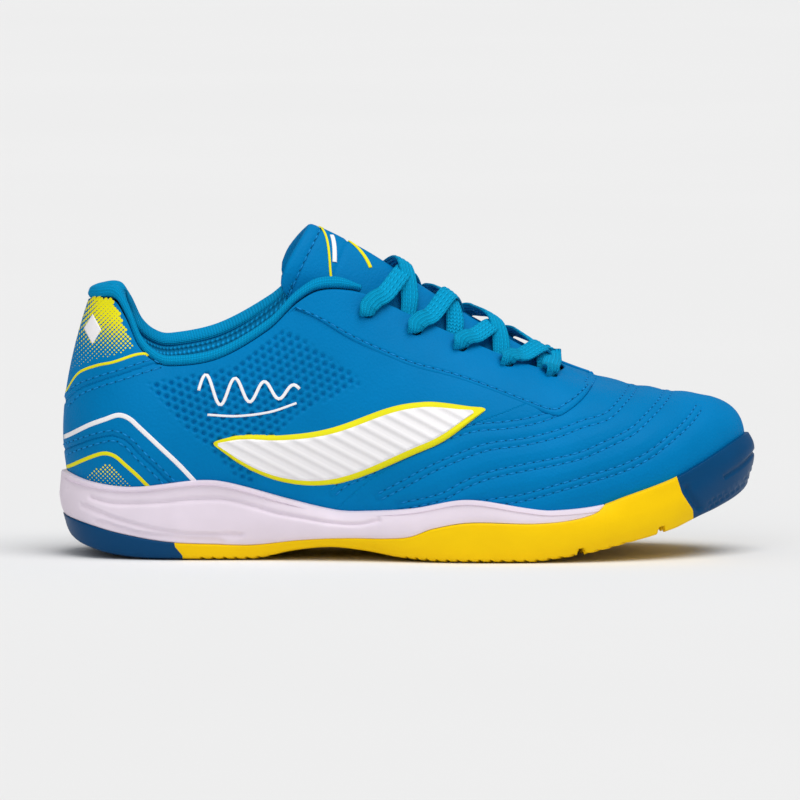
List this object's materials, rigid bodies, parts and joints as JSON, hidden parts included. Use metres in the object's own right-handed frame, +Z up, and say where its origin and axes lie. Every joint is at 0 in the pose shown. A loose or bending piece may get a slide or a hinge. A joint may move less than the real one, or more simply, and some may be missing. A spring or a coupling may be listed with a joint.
{
  "type": "court shoe",
  "caption": "Low-cut indoor court shoe with a padded collar, flat laces in punched facings, a moulded cup midsole and a rubber outsole with a wrapped toe.",
  "frame": {"origin": "centre of the bounding box at the ground, below the middle of the shoe", "axes": "+X from heel to toe, +Y to the inner (medial) side of this right shoe, +Z up"},
  "size_m": [0.2357, 0.0866, 0.112],
  "materials": {
    "leather": "smooth synthetic leather, slight sheen",
    "leather_light": "smooth synthetic leather, slight sheen",
    "lining_mesh": "knitted spacer mesh, matt",
    "lining_cloth": "thin woven lining, matt",
    "lace": "flat braided polyester, matt",
    "foam": "open-cell foam, matt",
    "board": "pressed fibre board, matt",
    "midsole_foam": "moulded foam, satin",
    "rubber_yellow": "moulded rubber, satin",
    "rubber_navy": "moulded rubber, satin",
    "film_white": "ribbed film, satin",
    "film_yellow": "smooth film, satin"
  },
  "bodies": {
    "shoe_body": {"quarter_lateral": "leather", "quarter_medial": "leather", "vamp": "leather_light", "heel_tab": "leather", "heel_base": "leather", "facing_lateral": "leather_light", "facing_medial": "leather_light", "emblem_backing_lateral": "film_yellow", "emblem_lateral": "film_white", "emblem_backing_medial": "film_yellow", "emblem_medial": "film_white", "heel_stiffener": "board", "toe_puff": "board", "forefoot_lining": "lining_cloth", "collar_foam": "foam", "collar_lining": "lining_mesh", "collar_binding": "leather_light", "midsole": "midsole_foam", "outsole": "rubber_yellow", "heel_pad": "rubber_navy", "toe_cap": "rubber_navy", "insole_board": "board", "tongue": "leather", "tongue_foam": "foam", "tongue_lining": "lining_mesh", "lace": "lace"},
    "tongue_flap": {"tongue_top": "leather", "tongue_top_foam": "foam", "tongue_top_lining": "lining_mesh"},
    "liner_flap": {"sock_liner": "lining_mesh"}
  },
  "joints": [
    {"name": "tongue_fold", "type": "hinge", "parent": "shoe_body", "child": "tongue_flap", "pos_m": [-0.0113, 0, 0.1013], "axis": [0, 1, 0], "range_deg": [-2, 60]},
    {"name": "liner_peel", "type": "hinge", "parent": "shoe_body", "child": "liner_flap", "pos_m": [0.103, 0, 0.025], "axis": [0, 1, 0], "range_deg": [0, 8]}
  ]
}
